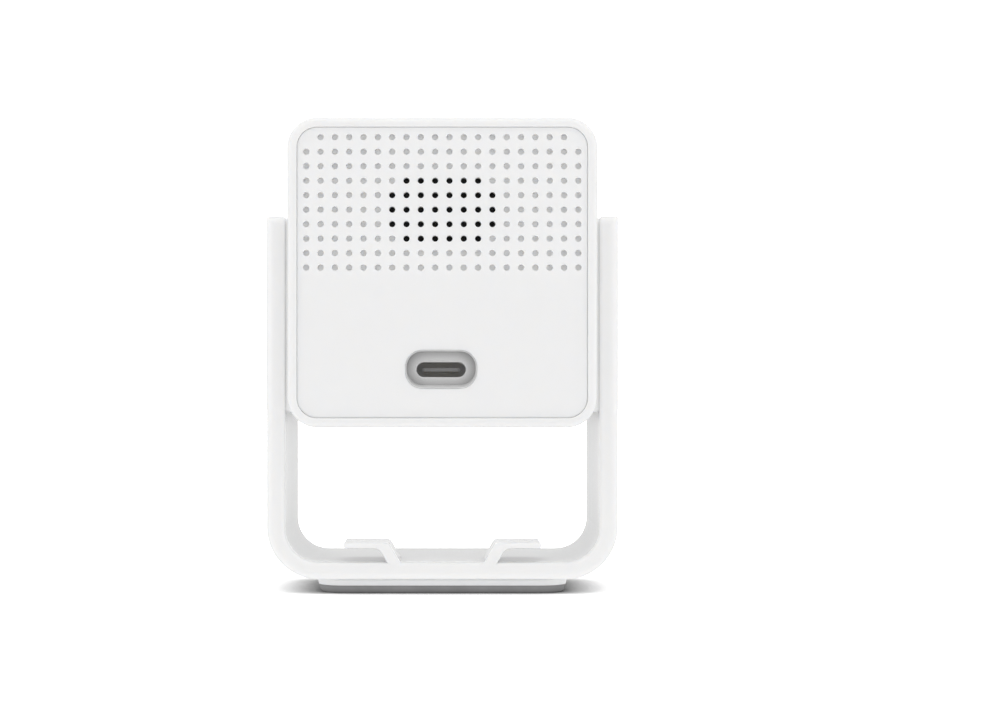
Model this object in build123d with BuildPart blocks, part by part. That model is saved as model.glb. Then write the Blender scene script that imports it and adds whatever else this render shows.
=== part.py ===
from build123d import *
import os

os.makedirs("parts", exist_ok=True)

# Compact indoor pet camera: a rounded cube head that tilts in a U-shaped bracket, on a swivelling foot.
# Millimetres. +Z up, the lens faces -Y, the speaker grille and power socket face +Y.
# Origin: centre of the foot, on the surface that the camera stands on.

# ---------------------------------------------------------------- driving dimensions
foot_w, foot_d, foot_r = 44.0, 28.0, 5.0      # plan of the foot, at the top of its plate
pad_t = 1.35                                  # rubber pad
plate_top = 2.4                               # top of the swivel plate
swivel_r, swivel_h = 9.0, 1.2                 # round recess under the bracket

yoke_w, yoke_d = 61.0, 32.0                   # bracket, outside width and strap depth
yoke_t, bar_t = 3.3, 3.15                     # strap thickness, arms and bottom bar
yoke_bottom, yoke_top = 2.5, 65.5
yoke_ro, yoke_ri = 9.1, 5.9                   # corner radii
yoke_edge, yoke_lip = 1.4, 0.7                # rounding along the strap's outer and inner edges
hook_d = 10.0                                 # depth of the cable hooks
arm_pad_x, arm_pad_d, arm_pad_h, pad_drop = 26.3, 30.7, 33.7, 6.75  # pads inside the arms: face, size, middle below the tilt axis

pivot_z = 55.1                                # tilt axis, also the middle of the head
head_w, head_d, head_r = 52.1, 53.2, 5.05
head_rear, head_front = 26.6, -26.6
cavity_w, cavity_r = 48.85, 3.4
ledge_back, pocket_floor = -23.4, -24.9       # front ledge that the window rests on
pocket_w, pocket_r = 47.3, 2.9

cover_w, cover_r, cover_in = 48.81, 3.38, 24.8  # rear cover, its inner face
hole_r, hole_px, hole_pz = 0.52, 2.402, 2.431  # hole grid, pitch across and down
hole_top = 22.7                               # top row above the tilt axis
dimple_depth = 0.85
port_dx, port_dz, port_floor = 0.2, -16.25, 22.3  # power socket beside and below the tilt axis, floor of its recess
spk_dz = 10.55                                # speaker above the tilt axis
hub_r, hub_bore_r = 3.5, 3.55                 # tilt bearing
btn_y = 12.0                                  # reset button, on the underside

arm_in = yoke_w / 2 - yoke_t
wall_in = cavity_w / 2


def at_y(y):
    """A plane across the head at depth y: local x is X, local y is height above the tilt axis, extrude goes towards -Y."""
    return Plane(origin=(0, y, pivot_z), x_dir=(1, 0, 0), z_dir=(0, -1, 0))


lens_plane = Plane.XY.offset(pivot_z)
lens_axis = Axis((0, 0, pivot_z), (0, 1, 0))
pivot_axis = Axis((0, 0, pivot_z), (1, 0, 0))

# ================================================================= foot
with BuildPart() as rubber_foot:
    with BuildSketch(Plane.XY.offset(pad_t)):
        RectangleRounded(foot_w - 0.7, foot_d - 0.7, foot_r - 0.35)
    extrude(amount=-pad_t, taper=10)
    fillet(rubber_foot.faces().sort_by(Axis.Z)[0].edges(), 0.8)

with BuildPart() as base_plate:
    with BuildSketch(Plane.XY.offset(plate_top)):
        RectangleRounded(foot_w, foot_d, foot_r)
    extrude(amount=-(plate_top - pad_t), taper=12)
    fillet(base_plate.faces().sort_by(Axis.Z)[-1].edges(), 0.15)
    with BuildSketch(Plane.XY.offset(plate_top)):
        Circle(swivel_r - 0.05)
    extrude(amount=swivel_h)
    with BuildSketch(Plane.XY.offset(pad_t)):
        Circle(5.2)
    extrude(amount=1.5, mode=Mode.SUBTRACT)
    with BuildSketch(Plane.XY.offset(pad_t)):
        Circle(1.6)
    extrude(amount=4, mode=Mode.SUBTRACT)

with BuildPart() as swivel_friction_washer:
    with BuildSketch(Plane.XY.offset(pad_t + 1.2)):
        Circle(4.8)
        Circle(1.6, mode=Mode.SUBTRACT)
    extrude(amount=0.3)

with BuildPart() as swivel_spring_washer:
    with BuildSketch(Plane.XZ):
        with BuildLine():
            Polyline((1.65, pad_t + 0.97), (4.4, pad_t + 0.85), (4.4, pad_t + 1.07), (1.65, pad_t + 1.2), close=True)
        make_face()
    revolve(axis=Axis.Z)

with BuildPart() as swivel_screw:
    with BuildSketch(Plane.XY.offset(pad_t + 0.15)):
        Circle(4.0)
    extrude(amount=0.7)
    with BuildSketch(Plane.XY.offset(pad_t + 0.85)):
        Circle(1.48)
    extrude(amount=2.65)
    chamfer(swivel_screw.faces().sort_by(Axis.Z)[-1].edges(), 0.3)
    with BuildSketch(Plane.XY.offset(pad_t + 0.15)):
        RegularPolygon(1.1, 6)
    extrude(amount=0.5, mode=Mode.SUBTRACT)

with BuildPart() as swivel_insert:
    with BuildSketch(Plane.XY.offset(yoke_bottom + swivel_h)):
        Circle(2.5)
        Circle(1.5, mode=Mode.SUBTRACT)
    extrude(amount=1.3)

# ================================================================= bracket
with BuildPart() as yoke_bracket:
    # U-shaped strap, its arms run past the tilt axis
    with BuildSketch(Plane.XZ.offset(-yoke_d / 2)):
        with BuildLine():
            FilletPolyline(
                (-yoke_w / 2, yoke_top), (-yoke_w / 2, yoke_bottom),
                (yoke_w / 2, yoke_bottom), (yoke_w / 2, yoke_top), radius=yoke_ro)
            Line((yoke_w / 2, yoke_top), (arm_in, yoke_top))
            FilletPolyline(
                (arm_in, yoke_top), (arm_in, yoke_bottom + bar_t),
                (-arm_in, yoke_bottom + bar_t), (-arm_in, yoke_top), radius=yoke_ri)
            Line((-arm_in, yoke_top), (-yoke_w / 2, yoke_top))
        make_face()
    extrude(amount=yoke_d)
    rims = yoke_bracket.edges().filter_by(lambda e: abs(abs(e.center().Y) - yoke_d / 2) < 1e-3)
    fillet(rims.filter_by(lambda e: abs(e.center().X) > arm_in + 0.01 or e.center().Z < yoke_bottom + bar_t - 0.01), yoke_edge)
    lips = yoke_bracket.edges().filter_by(
        lambda e: abs(abs(e.center().Y) - yoke_d / 2) < 1e-3
        and abs(e.center().X) < arm_in + 0.01 and e.center().Z > yoke_bottom + bar_t - 0.01)
    fillet(lips, yoke_lip)
    fillet(yoke_bracket.faces().group_by(Axis.Z)[-1].edges().filter_by(Axis.Y), 0.3)
    # cable hooks at the rear edge of the bar: leaning posts with flanges that point outwards
    with BuildSketch(Plane.XZ.offset(-yoke_d / 2)) as hook:
        with BuildLine():
            FilletPolyline((6.72, yoke_bottom + 2.15), (9.24, 9.05), (17.15, 9.05),
                           (17.15, 7.95), (10.95, 7.95), (9.1, yoke_bottom + 2.15),
                           radius=[1.1, 0.45, 0.45, 1.8])
            Line((9.1, yoke_bottom + 2.15), (6.72, yoke_bottom + 2.15))
        make_face()
        mirror(about=Plane.YZ)
    extrude(amount=hook_d)
    hook_edges = yoke_bracket.edges().filter_by(
        lambda e: e.center().Z > yoke_bottom + bar_t + 0.45 and e.center().Z < 9.2
        and abs(e.center().X) < 17.3
        and (abs(e.center().Y - yoke_d / 2) < 1e-3 or abs(e.center().Y - yoke_d / 2 + hook_d) < 1e-3))
    fillet(hook_edges, 0.35)
    # raised pads that centre the head, and hubs, on the inside of the arms
    for side in (1, -1):
        with BuildSketch(Plane(origin=(side * (arm_in + 0.5), 0, pivot_z), x_dir=(0, 1, 0), z_dir=(-side, 0, 0))):
            with Locations((0, side * pad_drop)):
                RectangleRounded(arm_pad_d, arm_pad_h, 0.9)
        extrude(amount=0.5 + arm_in - arm_pad_x)
    pads = yoke_bracket.faces().filter_by(Axis.X).filter_by(lambda f: abs(abs(f.center().X) - arm_pad_x) < 1e-3)
    fillet(pads.edges(), 0.25)
    for side in (1, -1):
        with BuildSketch(Plane(origin=(side * (arm_pad_x + 0.2), 0, pivot_z), x_dir=(0, 1, 0), z_dir=(-side, 0, 0))):
            Circle(hub_r)
        extrude(amount=arm_pad_x + 0.2 - 23.0)
        with BuildSketch(Plane(origin=(side * 23.0, 0, pivot_z), x_dir=(0, 1, 0), z_dir=(side, 0, 0))):
            Circle(0.85)
        extrude(amount=5.5, mode=Mode.SUBTRACT)
    # swivel recess and insert hole, from below
    with BuildSketch(Plane.XY.offset(yoke_bottom)):
        Circle(swivel_r)
    extrude(amount=swivel_h, mode=Mode.SUBTRACT)
    with BuildSketch(Plane.XY.offset(yoke_bottom)):
        Circle(2.5)
    extrude(amount=swivel_h + 1.3, mode=Mode.SUBTRACT)

with BuildPart() as pivot_friction_washers:
    for side in (1, -1):
        with BuildSketch(Plane(origin=(side * wall_in, 0, pivot_z), x_dir=(0, 1, 0), z_dir=(-side, 0, 0))):
            Circle(7.0)
            Circle(hub_r + 0.1, mode=Mode.SUBTRACT)
        extrude(amount=0.5)

with BuildPart() as pivot_spring_washers:
    with BuildSketch(Plane(origin=(0, 0, pivot_z), x_dir=(1, 0, 0), z_dir=(0, -1, 0))):
        with BuildLine():
            Polyline((23.0, 3.7), (23.3, 3.7), (23.925, 5.8), (23.625, 5.8), close=True)
        make_face()
        mirror(about=Plane(origin=(0, 0, 0), x_dir=(0, 1, 0), z_dir=(1, 0, 0)))
    revolve(axis=pivot_axis)

with BuildPart() as pivot_screws:
    with BuildSketch(Plane(origin=(0, 0, pivot_z), x_dir=(1, 0, 0), z_dir=(0, -1, 0))):
        with BuildLine():
            Polyline((28.0, 0), (28.0, 0.5), (27.6, 0.83), (23.0, 0.83), (23.0, 5.0),
                     (22.3, 5.0), (22.3, 2.8), (21.4, 2.4), (21.0, 1.4), (21.0, 0), close=True)
        make_face()
        mirror(about=Plane(origin=(0, 0, 0), x_dir=(0, 1, 0), z_dir=(1, 0, 0)))
    revolve(axis=pivot_axis)
    for side in (1, -1):
        with BuildSketch(Plane(origin=(side * 21.0, 0, pivot_z), x_dir=(0, 1, 0), z_dir=(side, 0, 0))):
            Rectangle(2.4, 0.5)
            Rectangle(0.5, 2.4)
        extrude(amount=0.9, mode=Mode.SUBTRACT)

# ================================================================= head: casings
with BuildPart() as head_shell:
    with BuildSketch(at_y(head_rear)):
        RectangleRounded(head_w, head_w, head_r)
    extrude(amount=head_d)
    fillet(head_shell.faces().sort_by(Axis.Y)[-1].edges(), 1.2)
    fillet(head_shell.faces().sort_by(Axis.Y)[0].edges(), 1.6)
    # cavity, open at the rear
    with BuildSketch(at_y(head_rear)):
        RectangleRounded(cavity_w, cavity_w, cavity_r)
    extrude(amount=head_rear - ledge_back, mode=Mode.SUBTRACT)
    # pocket and opening for the front window
    with BuildSketch(at_y(pocket_floor)):
        RectangleRounded(pocket_w, pocket_w, pocket_r)
    extrude(amount=pocket_floor - head_front, mode=Mode.SUBTRACT)
    with BuildSketch(at_y(ledge_back)):
        RectangleRounded(43.0, 43.0, 14.0)
    extrude(amount=ledge_back - pocket_floor, mode=Mode.SUBTRACT)
    fillet(head_shell.faces().sort_by(Axis.Y)[-1].inner_wires()[0].edges(), 0.15)
    fillet(head_shell.faces().sort_by(Axis.Y)[0].inner_wires()[0].edges(), 0.2)
    # screw bosses behind the ledge
    with BuildSketch(at_y(-20.8)):
        with GridLocations(39.0, 39.0, 2, 2):
            Circle(2.6)
    extrude(amount=-20.8 - ledge_back)
    with BuildSketch(at_y(-20.8)):
        with GridLocations(39.0, 39.0, 2, 2):
            Circle(0.85)
    extrude(amount=3.5, mode=Mode.SUBTRACT)
    # pads that the rear cover rests on
    with BuildSketch(at_y(cover_in)):
        with Locations((0, wall_in - 0.4), (0, -wall_in + 0.4)):
            Rectangle(8.0, 1.2)
        with Locations((wall_in - 0.4, 0), (-wall_in + 0.4, 0)):
            Rectangle(1.2, 8.0)
    extrude(amount=2.0)
    # grooves for the cover's snap hooks
    with BuildSketch(at_y(21.6)):
        with Locations((-14, wall_in), (14, wall_in), (-14, -wall_in), (14, -wall_in)):
            Rectangle(7.0, 1.3)
        with Locations((wall_in, 14), (-wall_in, 14), (wall_in, -14), (-wall_in, -14)):
            Rectangle(1.3, 7.0)
    extrude(amount=1.4, mode=Mode.SUBTRACT)
    # tilt bearings
    with BuildSketch(Plane(origin=(-head_w, 0, pivot_z), x_dir=(0, 1, 0), z_dir=(1, 0, 0))):
        Circle(hub_bore_r)
    extrude(amount=2 * head_w, mode=Mode.SUBTRACT)
    # reset button bore with a finger dish
    with BuildSketch(Plane(origin=(0, btn_y, pivot_z - head_w / 2), x_dir=(1, 0, 0), z_dir=(0, 0, 1))):
        Circle(1.7)
    extrude(amount=3, mode=Mode.SUBTRACT)
    chamfer(head_shell.edges().filter_by(GeomType.CIRCLE).group_by(Axis.Z)[0], 0.35)

with BuildPart() as rear_cover:
    with BuildSketch(at_y(head_rear)):
        RectangleRounded(cover_w, cover_w, cover_r)
    extrude(amount=head_rear - cover_in)
    fillet(rear_cover.faces().sort_by(Axis.Y)[-1].edges(), 0.3)
    # port opening
    with BuildSketch(at_y(head_rear)):
        with Locations((port_dx, port_dz)):
            RectangleRounded(12.02, 6.46, 2.85)
    extrude(amount=3, mode=Mode.SUBTRACT)
    fillet(rear_cover.faces().sort_by(Axis.Y)[-1].inner_wires()[0].edges(), 0.25)
    # speaker collar and port collar on the inside
    with BuildSketch(at_y(cover_in)):
        with Locations((0, spk_dz)):
            SlotOverall(26.2, 18.2)
            SlotOverall(24.0, 16.0, mode=Mode.SUBTRACT)
    extrude(amount=3.0)
    with BuildSketch(at_y(cover_in)):
        with Locations((port_dx, port_dz)):
            RectangleRounded(16.6, 11.0, 4.2)
            RectangleRounded(14.6, 9.0, 4.2, mode=Mode.SUBTRACT)
    extrude(amount=1.6)
    # snap arms
    with BuildSketch(at_y(cover_in)):
        with Locations((-14, wall_in - 0.95), (14, wall_in - 0.95), (-14, -wall_in + 0.95), (14, -wall_in + 0.95)):
            Rectangle(6.2, 1.3)
        with Locations((wall_in - 0.95, 14), (-wall_in + 0.95, 14), (wall_in - 0.95, -14), (-wall_in + 0.95, -14)):
            Rectangle(1.3, 6.2)
    extrude(amount=5.2)
    with BuildSketch(at_y(21.4)):
        with Locations((-14, wall_in - 0.1), (14, wall_in - 0.1), (-14, -wall_in + 0.1), (14, -wall_in + 0.1)):
            Rectangle(6.2, 0.8)
        with Locations((wall_in - 0.1, 14), (-wall_in + 0.1, 14), (wall_in - 0.1, -14), (-wall_in + 0.1, -14)):
            Rectangle(0.8, 6.2)
    extrude(amount=0.9)
    # hole grid: blind dimples all over, through holes in front of the speaker
    through, blind = [], []
    for row in range(10):
        for column in range(20):
            if row == 0 and column in (0, 19):
                continue
            spot = (-(column - 9.5) * hole_px, hole_top - row * hole_pz)
            half = 3 if row in (3, 7) else 4
            opened = 3 <= row <= 7 and 10 - half <= column <= 9 + half
            (through if opened else blind).append(spot)
    rear_face = Plane(origin=(0, head_rear, pivot_z), x_dir=(-1, 0, 0), z_dir=(0, 1, 0))
    with Locations(rear_face):
        with Locations(*blind):
            CounterSinkHole(hole_r, hole_r + 0.09, depth=dimple_depth, counter_sink_angle=90)
    with Locations(rear_face):
        with Locations(*through):
            CounterSinkHole(hole_r, hole_r + 0.09, depth=4, counter_sink_angle=90)

with BuildPart() as port_bezel:
    # a cup as large as the body of a USB-C plug, its flange held behind the rear cover
    with BuildSketch(at_y(26.35)):
        with Locations((port_dx, port_dz)):
            RectangleRounded(11.94, 6.38, 2.81)
    extrude(amount=26.35 - cover_in)
    with BuildSketch(at_y(cover_in)):
        with Locations((port_dx, port_dz)):
            RectangleRounded(14.3, 8.7, 4.0)
    extrude(amount=0.8)
    with BuildSketch(at_y(cover_in - 0.8)):
        with Locations((port_dx, port_dz)):
            RectangleRounded(13.0, 7.5, 3.2)
    extrude(amount=cover_in - 0.8 - port_floor + 0.7)
    # the recess: near-straight walls above and at the sides, a sloping one below
    with BuildSketch(at_y(26.35)):
        with Locations((port_dx, port_dz)):
            RectangleRounded(11.8, 6.24, 2.74)
    with BuildSketch(at_y(port_floor)):
        with Locations((port_dx, port_dz + 0.27)):
            RectangleRounded(11.66, 5.58, 2.6)
    loft(mode=Mode.SUBTRACT)
    with BuildSketch(at_y(port_floor)):
        with Locations((port_dx, port_dz)):
            SlotOverall(8.4, 2.88)
    extrude(amount=2, mode=Mode.SUBTRACT)
    chamfer(port_bezel.edges().filter_by(
        lambda e: abs(e.center().Y - port_floor) < 1e-3 and abs(e.center().X - port_dx) < 4.3
        and abs(e.center().Z - pivot_z - port_dz) < 1.5), 0.1)

with BuildPart() as front_window:
    with BuildSketch(at_y(pocket_floor)):
        RectangleRounded(47.0, 47.0, 2.75)
        Circle(10.3, mode=Mode.SUBTRACT)
        with Locations((0, -19)):
            Circle(1.05, mode=Mode.SUBTRACT)
        with Locations((0, 19)):
            Circle(0.5, mode=Mode.SUBTRACT)
    extrude(amount=1.4)
    fillet(front_window.faces().sort_by(Axis.Y)[0].outer_wire().edges(), 0.35)

# ================================================================= head: optics
with BuildPart() as lens_ring:
    with BuildSketch(lens_plane):
        with BuildLine():
            Polyline((10.2, -24.2), (10.2, -26.3), (11.0, -26.3), (11.0, -26.43), (10.88, -26.55),
                     (10.05, -26.55), (9.9, -26.45), (9.5, -25.8), (9.0, -25.8), (9.0, -25.35),
                     (8.5, -25.35), (8.5, -24.9), (8.0, -24.9), (8.0, -24.2), close=True)
        make_face()
    revolve(axis=lens_axis)

with BuildPart() as lens_barrel:
    with BuildSketch(lens_plane):
        with BuildLine():
            Polyline((4.25, -15.0), (6.0, -15.0), (6.0, -21.3), (7.2, -21.3), (7.2, -25.05), (6.95, -25.3),
                     (6.1, -25.3), (5.35, -24.75), (5.35, -22.6), (4.25, -22.6), close=True)
        make_face()
    revolve(axis=lens_axis)
    with BuildSketch(at_y(-21.3)):
        with PolarLocations(7.2, 16):
            Circle(0.35)
    extrude(amount=2.4, mode=Mode.SUBTRACT)

with BuildPart() as front_lens_element:
    with BuildSketch(at_y(-22.65)):
        Circle(5.3)
    extrude(amount=4)
    with Locations((0, -26.1 + 10.113, pivot_z)):
        Sphere(10.113, mode=Mode.INTERSECT)
    with Locations((0, -23.6 + 9.76, pivot_z)):
        Sphere(9.76, mode=Mode.SUBTRACT)

with BuildPart() as middle_lens_element:
    with BuildSketch(at_y(-19.0)):
        Circle(4.2)
    extrude(amount=3)
    with Locations((0, -20.9 + 12.0, pivot_z)):
        Sphere(12.0, mode=Mode.INTERSECT)
    with Locations((0, -20.0 + 14.0, pivot_z)):
        Sphere(14.0, mode=Mode.SUBTRACT)

with BuildPart() as rear_lens_element:
    with BuildSketch(at_y(-15.6)):
        Circle(4.2)
    extrude(amount=3)
    with Locations((0, -18.4 + 11.0, pivot_z)):
        Sphere(11.0, mode=Mode.INTERSECT)
    with Locations((0, -16.0 - 11.0, pivot_z)):
        Sphere(11.0, mode=Mode.INTERSECT)

with BuildPart() as lens_holder:
    with BuildSketch(at_y(-11.2)):
        RectangleRounded(23.0, 17.0, 1.0)
    extrude(amount=5.8)
    with BuildSketch(at_y(-17.0)):
        Circle(7.4)
    extrude(amount=3.4)
    with BuildSketch(at_y(-11.2)):
        Rectangle(20.8, 14.8)
    extrude(amount=4.8, mode=Mode.SUBTRACT)
    with BuildSketch(at_y(-11.2)):
        Circle(6.03)
    extrude(amount=12, mode=Mode.SUBTRACT)
    # rails that the filter carriage runs between
    with BuildSketch(at_y(-12.7)):
        with Locations((0, 5.1), (0, -5.1)):
            Rectangle(20.9, 0.9)
    extrude(amount=2.2)

with BuildPart() as filter_carriage:
    with BuildSketch(at_y(-13.2)):
        with Locations((2.8, 0)):
            RectangleRounded(12.4, 9.1, 0.6)
        with Locations((0, 0), (5.6, 0)):
            Rectangle(5.1, 5.8, mode=Mode.SUBTRACT)
        with Locations((2.8, 3.7)):
            Rectangle(4.1, 1.1, mode=Mode.SUBTRACT)
    extrude(amount=1.2)

with BuildPart() as ir_cut_glass:
    with BuildSketch(at_y(-13.5)):
        Rectangle(5.1, 5.8)
    extrude(amount=0.6)

with BuildPart() as clear_glass:
    with BuildSketch(at_y(-13.5)):
        with Locations((5.6, 0)):
            Rectangle(5.1, 5.8)
    extrude(amount=0.6)

with BuildPart() as filter_magnet:
    with BuildSketch(at_y(-13.3)):
        with Locations((2.8, 3.7)):
            Rectangle(4.1, 1.1)
    extrude(amount=1.0)

with BuildPart() as filter_coil:
    with BuildSketch(Plane.XY.offset(pivot_z + 8.5)):
        with Locations((0, -14.0)):
            SlotOverall(12.0, 4.4)
            SlotOverall(8.0, 0.9, mode=Mode.SUBTRACT)
    extrude(amount=2.2)

with BuildPart() as sensor_board:
    with BuildSketch(at_y(-10.0)):
        RectangleRounded(34.0, 30.0, 1.0)
        with GridLocations(29.0, 25.0, 2, 2):
            Circle(0.9, mode=Mode.SUBTRACT)
    extrude(amount=1.2)

with BuildPart() as image_sensor:
    with BuildSketch(at_y(-11.2)):
        Rectangle(8.0, 7.0)
    extrude(amount=0.9)
    with BuildSketch(at_y(-12.1)):
        Rectangle(6.4, 5.4)
    extrude(amount=0.25)

with BuildPart() as sensor_board_screws:
    for sx in (1, -1):
        for sz in (1, -1):
            with BuildSketch(at_y(-11.2)):
                with Locations((sx * 14.5, sz * 12.5)):
                    Circle(1.5)
            extrude(amount=0.9)
            with BuildSketch(at_y(-8.6)):
                with Locations((sx * 14.5, sz * 12.5)):
                    Circle(0.8)
            extrude(amount=2.6)
    with BuildSketch(at_y(-12.1)):
        with GridLocations(29.0, 25.0, 2, 2):
            Rectangle(1.8, 0.4)
            Rectangle(0.4, 1.8)
    extrude(amount=-0.5, mode=Mode.SUBTRACT)

# ================================================================= head: night vision, microphone and status light
with BuildPart() as infrared_board:
    with BuildSketch(at_y(-19.8)):
        RectangleRounded(46.0, 46.0, 2.6)
        Circle(9.0, mode=Mode.SUBTRACT)
        with GridLocations(39.0, 39.0, 2, 2):
            Circle(1.1, mode=Mode.SUBTRACT)
    extrude(amount=1.0)

with BuildPart() as infrared_leds:
    with BuildSketch(at_y(-20.8)):
        with PolarLocations(15.8, 8, start_angle=22.5):
            Rectangle(2.8, 2.8)
    extrude(amount=1.1)
    with BuildSketch(at_y(-21.9)):
        with PolarLocations(15.8, 8, start_angle=22.5):
            Circle(1.15)
    extrude(amount=0.7)
    fillet(infrared_leds.edges().filter_by(GeomType.CIRCLE).group_by(Axis.Y)[0], 0.5)

with BuildPart() as lens_gasket:
    with BuildSketch(at_y(-20.8)):
        Circle(12.4)
        Circle(10.8, mode=Mode.SUBTRACT)
    extrude(amount=-20.8 - pocket_floor)

with BuildPart() as status_led:
    with BuildSketch(at_y(-20.8)):
        with Locations((0, -19.0)):
            Rectangle(2.0, 1.25)
    extrude(amount=0.8)

with BuildPart() as status_light_pipe:
    with BuildSketch(at_y(-21.8)):
        with Locations((0, -19.0)):
            Circle(1.0)
    extrude(amount=4.5)
    with BuildSketch(at_y(-24.2)):
        with Locations((0, -19.0)):
            Circle(1.7)
    extrude(amount=0.7)
    fillet(status_light_pipe.faces().sort_by(Axis.Y)[0].edges(), 0.2)

with BuildPart() as microphone:
    with BuildSketch(at_y(-20.8)):
        with Locations((0, 19.0)):
            Rectangle(3.8, 3.0)
    extrude(amount=1.1)

with BuildPart() as mic_boot:
    with BuildSketch(at_y(-21.9)):
        with Locations((0, 19.0)):
            Circle(2.2)
            Circle(0.5, mode=Mode.SUBTRACT)
    extrude(amount=-21.9 - pocket_floor)

# ================================================================= head: frame and boards
with BuildPart() as internal_frame:
    with BuildSketch(at_y(-8.5)):
        RectangleRounded(46.4, 46.4, 2.2)
        Rectangle(24.0, 20.0, mode=Mode.SUBTRACT)
    extrude(amount=1.5)
    with BuildSketch(at_y(-10.0)):
        with GridLocations(39.0, 39.0, 2, 2):
            RectangleRounded(6.6, 6.6, 1.0)
    extrude(amount=9.8)
    with BuildSketch(at_y(13.2)):
        with GridLocations(39.2, 27.0, 2, 2):
            RectangleRounded(6.0, 6.0, 1.0)
    extrude(amount=21.7)
    with BuildSketch(at_y(0)):
        with GridLocations(39.0, 39.0, 2, 2):
            Circle(1.1)
    extrude(amount=30, mode=Mode.SUBTRACT)
    with BuildSketch(at_y(13.2)):
        with GridLocations(39.2, 27.0, 2, 2):
            Circle(0.85)
    extrude(amount=5.5, mode=Mode.SUBTRACT)
    with BuildSketch(at_y(0)):
        with GridLocations(29.0, 25.0, 2, 2):
            Circle(0.82)
    extrude(amount=12, mode=Mode.SUBTRACT)

with BuildPart() as frame_screws:
    for sx in (1, -1):
        for sz in (1, -1):
            with BuildSketch(at_y(-7.2)):
                with Locations((sx * 19.5, sz * 19.5)):
                    Circle(1.9)
            extrude(amount=1.3)
            with BuildSketch(at_y(-8.5)):
                with Locations((sx * 19.5, sz * 19.5)):
                    Circle(0.83)
            extrude(amount=15.6)
    with BuildSketch(at_y(-7.2)):
        with GridLocations(39.0, 39.0, 2, 2):
            Rectangle(2.2, 0.5)
            Rectangle(0.5, 2.2)
    extrude(amount=0.7, mode=Mode.SUBTRACT)

with BuildPart() as main_board:
    with BuildSketch(at_y(14.8)):
        RectangleRounded(46.0, 46.0, 2.6)
        with GridLocations(39.2, 27.0, 2, 2):
            Circle(1.1, mode=Mode.SUBTRACT)
    extrude(amount=1.6)

with BuildPart() as main_board_screws:
    for sx in (1, -1):
        for sz in (1, -1):
            with BuildSketch(at_y(16.0)):
                with Locations((sx * 19.6, sz * 13.5)):
                    Circle(1.9)
            extrude(amount=1.2)
            with BuildSketch(at_y(14.8)):
                with Locations((sx * 19.6, sz * 13.5)):
                    Circle(0.83)
            extrude(amount=6.4)
    with BuildSketch(at_y(16.0)):
        with GridLocations(39.2, 27.0, 2, 2):
            Rectangle(2.2, 0.5)
            Rectangle(0.5, 2.2)
    extrude(amount=0.7, mode=Mode.SUBTRACT)

with BuildPart() as processor:
    with BuildSketch(at_y(13.2)):
        with Locations((0, 3.0)):
            Rectangle(12.0, 12.0)
    extrude(amount=1.2)

with BuildPart() as thermal_pad:
    with BuildSketch(at_y(12.0)):
        with Locations((0, 3.0)):
            Rectangle(12.0, 12.0)
    extrude(amount=0.6)

with BuildPart() as heat_sink:
    with BuildSketch(at_y(11.4)):
        with Locations((0, 3.0)):
            RectangleRounded(26.0, 26.0, 0.8)
    extrude(amount=1.5)
    with BuildSketch(at_y(9.9)):
        with Locations((0, 3.0)):
            with GridLocations(3.6, 0, 7, 1):
                Rectangle(1.0, 25.0)
    extrude(amount=5.5)

with BuildPart() as memory_chip:
    with BuildSketch(at_y(13.2)):
        with Locations((-11.0, -16.0)):
            Rectangle(10.0, 8.0)
    extrude(amount=1.0)

with BuildPart() as wifi_shield:
    with BuildSketch(at_y(13.2)):
        with Locations((9.6, -16.0)):
            RectangleRounded(12.0, 10.0, 0.5)
    extrude(amount=2.0)
    fillet(wifi_shield.faces().sort_by(Axis.Y)[0].edges(), 0.3)

with BuildPart() as wifi_antenna:
    with BuildSketch(Plane.XY.offset(pivot_z + wall_in - 0.2)):
        with Locations((0, 0.5)):
            RectangleRounded(28.0, 8.0, 1.0)
    extrude(amount=0.2)

with BuildPart() as antenna_cable:
    with BuildLine() as coax_route:
        FilletPolyline(
            (11.5, 1.0, pivot_z + wall_in - 0.2), (11.5, 1.0, pivot_z + 19.0),
            (14.8, 1.6, pivot_z + 11.5), (14.8, 2.4, pivot_z - 2.5),
            (12.6, 4.4, pivot_z - 14.5), (12.0, 11.2, pivot_z - 14.5),
            radius=[6.0, 10.0, 12.0, 3.0])
    with BuildSketch(Plane(origin=coax_route.line @ 0, z_dir=coax_route.line % 0)):
        Circle(0.5)
    sweep(path=coax_route.line)

with BuildPart() as ribbon_connectors:
    with BuildSketch(at_y(13.2)):
        with Locations((0, 19.6)):
            Rectangle(13.0, 3.2)
    extrude(amount=1.8)
    with BuildSketch(at_y(-8.2)):
        with Locations((0, 7.6)):
            Rectangle(13.0, 3.2)
    extrude(amount=1.8)

with BuildPart() as sensor_ribbon:
    with BuildSketch(Plane.YZ.offset(-5.0)):
        with BuildLine():
            FilletPolyline((-8.2, pivot_z + 7.6), (-2.0, pivot_z + 7.6), (-2.0, pivot_z + 19.6),
                           (11.4, pivot_z + 19.6), radius=[3.0, 3.0])
            Line((11.4, pivot_z + 19.6), (11.4, pivot_z + 19.75))
            FilletPolyline((11.4, pivot_z + 19.75), (-2.15, pivot_z + 19.75), (-2.15, pivot_z + 7.75),
                           (-8.2, pivot_z + 7.75), radius=[3.15, 2.85])
            Line((-8.2, pivot_z + 7.75), (-8.2, pivot_z + 7.6))
        make_face()
    extrude(amount=10.0)

# ================================================================= head: power socket
with BuildPart() as usb_c_shell:
    with BuildSketch(at_y(port_floor - 0.7)):
        with Locations((port_dx, port_dz)):
            SlotOverall(8.94, 3.16)
    extrude(amount=port_floor - 0.7 - 14.8)
    with BuildSketch(at_y(port_floor - 0.7)):
        with Locations((port_dx, port_dz)):
            SlotOverall(8.34, 2.56)
    extrude(amount=6.2, mode=Mode.SUBTRACT)

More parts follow.
